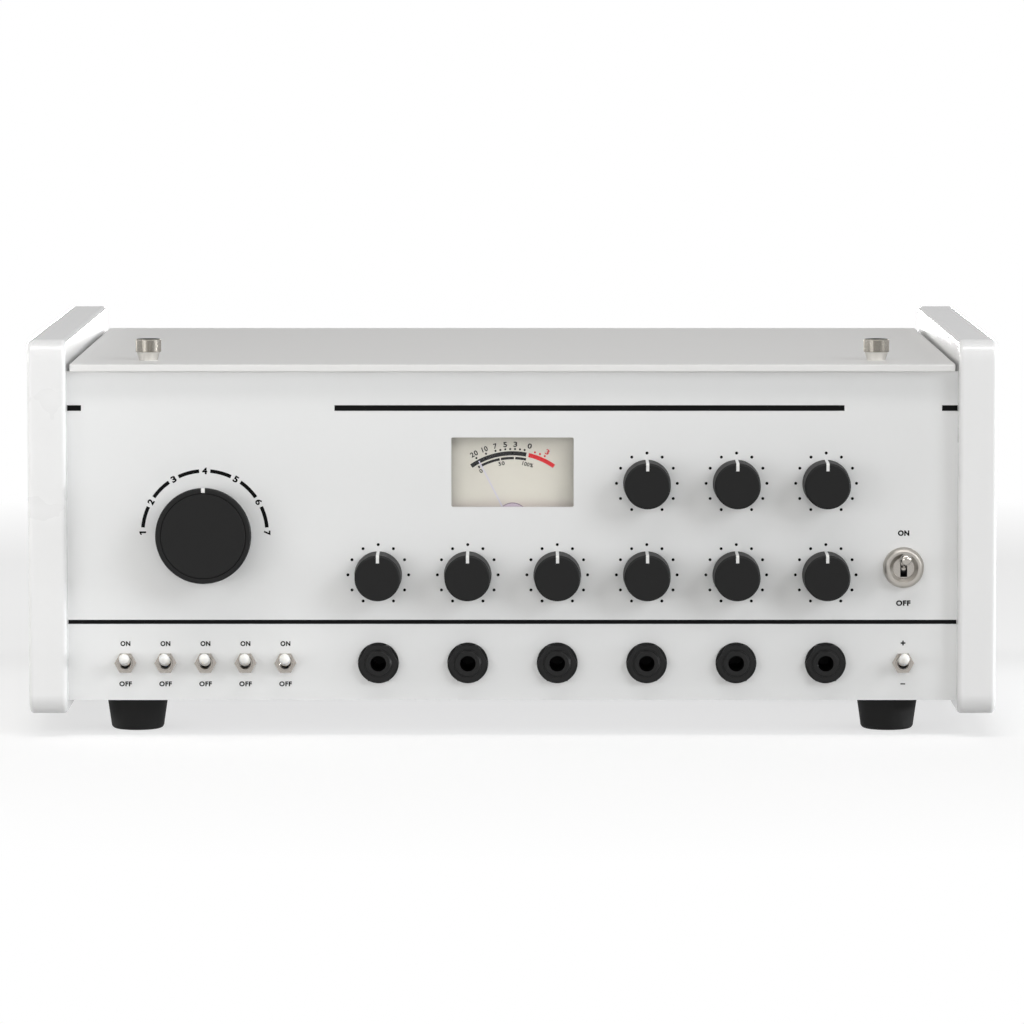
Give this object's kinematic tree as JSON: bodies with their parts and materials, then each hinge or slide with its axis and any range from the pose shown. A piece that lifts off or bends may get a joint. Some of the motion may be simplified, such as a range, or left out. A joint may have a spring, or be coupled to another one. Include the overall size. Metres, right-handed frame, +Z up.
{
  "type": "tape echo unit",
  "caption": "Desk-top tape echo in a white case between gloss cheeks: dials, meter, toggles and jacks in front, open tape loop transport under a lift-off lid.",
  "frame": {"origin": "on the surface that the feet stand on, in the middle of the outer box", "axes": "+Z up; the control panel faces -Y; +X is to the right of someone who looks at the panel"},
  "size_m": [0.404, 0.2884, 0.1665],
  "materials": {
    "cheek_lacquer": "smooth white gloss",
    "panel_paint": "white semi-gloss powder coat",
    "lid_paint": "warm pale grey satin paint",
    "plated_steel": "zinc-plated sheet",
    "nickel": "warm nickel plating",
    "chrome": "bright chrome plating",
    "knob_black": "turned black, fine satin",
    "lever_white": "white moulded",
    "black_plastic": "black moulded",
    "switch_red": "red moulded",
    "phenolic_brown": "laminated phenolic",
    "foot_rubber": "black rubber",
    "circuit_board": "green solder mask",
    "core_iron": "laminated and varnished",
    "deck_aluminium": "brushed and anodised",
    "flywheel_steel": "turned",
    "pulley_brass": "turned",
    "clear_window": "clear acrylic",
    "dial_cream": "printed card",
    "needle_lavender": "painted",
    "tape_brown": "oxide coating"
  },
  "bodies": {
    "root": {"left_cheek": "cheek_lacquer", "right_cheek": "cheek_lacquer", "chassis": "plated_steel", "front_panel": "panel_paint", "rear_panel": "panel_paint", "lid_inserts": "plated_steel", "feet": "foot_rubber", "foot_screws": "nickel", "case_screws": "nickel", "control_pots": "plated_steel", "rotary_switch": "phenolic_brown", "toggle_bodies": "switch_red", "toggle_nuts": "nickel", "power_switch": "black_plastic", "power_nut": "chrome", "meter_case": "black_plastic", "meter_dial": "dial_cream", "meter_window": "clear_window", "jack_bodies": "black_plastic", "jack_nuts": "black_plastic", "control_boards": "circuit_board", "main_board": "circuit_board", "board_posts": "plated_steel", "transformer": "core_iron", "reverb_tank": "plated_steel", "mains_inlet": "black_plastic", "fuse_holder": "black_plastic", "deck_plate": "deck_aluminium", "tape_chamber": "black_plastic", "tape_cover": "clear_window", "tape_loop": "tape_brown", "tape_heads": "nickel", "tape_guides": "nickel", "motor": "plated_steel", "drive_belt": "foot_rubber"},
    "lid": {"lid": "lid_paint"},
    "thumbscrew_left": {"thumbscrew_left": "nickel"},
    "thumbscrew_right": {"thumbscrew_right": "nickel"},
    "mode_knob": {"mode_knob": "knob_black"},
    "power_lever": {"power_lever": "chrome"},
    "level_lever": {"level_lever": "lever_white"},
    "meter_needle": {"meter_needle": "needle_lavender"},
    "capstan": {"capstan": "flywheel_steel"},
    "motor_pulley": {"motor_pulley": "pulley_brass"},
    "pinch_arm": {"pinch_arm": "deck_aluminium"},
    "pinch_roller": {"pinch_roller": "foot_rubber"},
    "knob_low_1": {"knob_low_1": "knob_black"},
    "knob_low_2": {"knob_low_2": "knob_black"},
    "knob_low_3": {"knob_low_3": "knob_black"},
    "knob_low_4": {"knob_low_4": "knob_black"},
    "knob_low_5": {"knob_low_5": "knob_black"},
    "knob_low_6": {"knob_low_6": "knob_black"},
    "knob_top_1": {"knob_top_1": "knob_black"},
    "knob_top_2": {"knob_top_2": "knob_black"},
    "knob_top_3": {"knob_top_3": "knob_black"},
    "toggle_lever_1": {"toggle_lever_1": "lever_white"},
    "toggle_lever_2": {"toggle_lever_2": "lever_white"},
    "toggle_lever_3": {"toggle_lever_3": "lever_white"},
    "toggle_lever_4": {"toggle_lever_4": "lever_white"},
    "toggle_lever_5": {"toggle_lever_5": "lever_white"}
  },
  "joints": [
    {"name": "lid_lift", "type": "slide", "parent": "root", "child": "lid", "axis": [0, 0, 1], "range_m": [0, 0.12]},
    {"name": "thumbscrew_left_turn", "type": "hinge", "parent": "lid", "child": "thumbscrew_left", "pos_m": [-0.1533, -0.09783, 0.1563], "axis": [0, 0, 1], "continuous": true},
    {"name": "thumbscrew_right_turn", "type": "hinge", "parent": "lid", "child": "thumbscrew_right", "pos_m": [0.1533, -0.09783, 0.1563], "axis": [0, 0, 1], "continuous": true},
    {"name": "mode_turn", "type": "hinge", "parent": "root", "child": "mode_knob", "pos_m": [-0.12855, -0.12383, 0.0855], "axis": [0, 1, 0], "range_deg": [-90, 90]},
    {"name": "knob_low_1_turn", "type": "hinge", "parent": "root", "child": "knob_low_1", "pos_m": [-0.0561, -0.12383, 0.0679], "axis": [0, 1, 0], "range_deg": [-150, 150]},
    {"name": "knob_low_2_turn", "type": "hinge", "parent": "root", "child": "knob_low_2", "pos_m": [-0.01866, -0.12383, 0.0679], "axis": [0, 1, 0], "range_deg": [-150, 150]},
    {"name": "knob_low_3_turn", "type": "hinge", "parent": "root", "child": "knob_low_3", "pos_m": [0.01878, -0.12383, 0.0679], "axis": [0, 1, 0], "range_deg": [-150, 150]},
    {"name": "knob_low_4_turn", "type": "hinge", "parent": "root", "child": "knob_low_4", "pos_m": [0.05622, -0.12383, 0.0679], "axis": [0, 1, 0], "range_deg": [-150, 150]},
    {"name": "knob_low_5_turn", "type": "hinge", "parent": "root", "child": "knob_low_5", "pos_m": [0.09366, -0.12383, 0.0679], "axis": [0, 1, 0], "range_deg": [-150, 150]},
    {"name": "knob_low_6_turn", "type": "hinge", "parent": "root", "child": "knob_low_6", "pos_m": [0.1311, -0.12383, 0.0679], "axis": [0, 1, 0], "range_deg": [-150, 150]},
    {"name": "knob_top_1_turn", "type": "hinge", "parent": "root", "child": "knob_top_1", "pos_m": [0.05622, -0.12383, 0.1063], "axis": [0, 1, 0], "range_deg": [-150, 150]},
    {"name": "knob_top_2_turn", "type": "hinge", "parent": "root", "child": "knob_top_2", "pos_m": [0.09366, -0.12383, 0.1063], "axis": [0, 1, 0], "range_deg": [-150, 150]},
    {"name": "knob_top_3_turn", "type": "hinge", "parent": "root", "child": "knob_top_3", "pos_m": [0.1311, -0.12383, 0.1063], "axis": [0, 1, 0], "range_deg": [-150, 150]},
    {"name": "toggle_1_tilt", "type": "hinge", "parent": "root", "child": "toggle_lever_1", "pos_m": [-0.16205, -0.12213, 0.0309], "axis": [1, 0, 0], "range_deg": [0, 25]},
    {"name": "toggle_2_tilt", "type": "hinge", "parent": "root", "child": "toggle_lever_2", "pos_m": [-0.1453, -0.12213, 0.0309], "axis": [1, 0, 0], "range_deg": [0, 25]},
    {"name": "toggle_3_tilt", "type": "hinge", "parent": "root", "child": "toggle_lever_3", "pos_m": [-0.12855, -0.12213, 0.0309], "axis": [1, 0, 0], "range_deg": [0, 25]},
    {"name": "toggle_4_tilt", "type": "hinge", "parent": "root", "child": "toggle_lever_4", "pos_m": [-0.1118, -0.12213, 0.0309], "axis": [1, 0, 0], "range_deg": [0, 25]},
    {"name": "toggle_5_tilt", "type": "hinge", "parent": "root", "child": "toggle_lever_5", "pos_m": [-0.09505, -0.12213, 0.0309], "axis": [1, 0, 0], "range_deg": [0, 25]},
    {"name": "level_tilt", "type": "hinge", "parent": "root", "child": "level_lever", "pos_m": [0.1636, -0.12213, 0.0309], "axis": [1, 0, 0], "range_deg": [0, 25]},
    {"name": "power_tilt", "type": "hinge", "parent": "root", "child": "power_lever", "pos_m": [0.1636, -0.12183, 0.071], "axis": [1, 0, 0], "range_deg": [0, 28]},
    {"name": "needle_swing", "type": "hinge", "parent": "root", "child": "meter_needle", "pos_m": [0.00006, -0.11783, 0.0877], "axis": [0, 1, 0], "range_deg": [0, 62], "stiffness_Nm_per_rad": 0.0001},
    {"name": "capstan_spin", "type": "hinge", "parent": "root", "child": "capstan", "pos_m": [0.062, -0.01993, 0.1122], "axis": [0, 0, 1], "continuous": true},
    {"name": "motor_spin", "type": "hinge", "parent": "root", "child": "motor_pulley", "pos_m": [-0.004, -0.01993, 0.0942], "axis": [0, 0, 1], "continuous": true},
    {"name": "pinch_swing", "type": "hinge", "parent": "root", "child": "pinch_arm", "pos_m": [0.09499, -0.04145, 0.1122], "axis": [0, 0, 1], "range_deg": [0, 14], "stiffness_Nm_per_rad": 0.1},
    {"name": "roller_spin", "type": "hinge", "parent": "pinch_arm", "child": "pinch_roller", "pos_m": [0.062, -0.03323, 0.1122], "axis": [0, 0, 1], "continuous": true}
  ],
  "couplings": [
    {"joint": "motor_spin", "follows": "capstan_spin", "ratio": 4},
    {"joint": "roller_spin", "follows": "capstan_spin", "ratio": -0.38889}
  ]
}
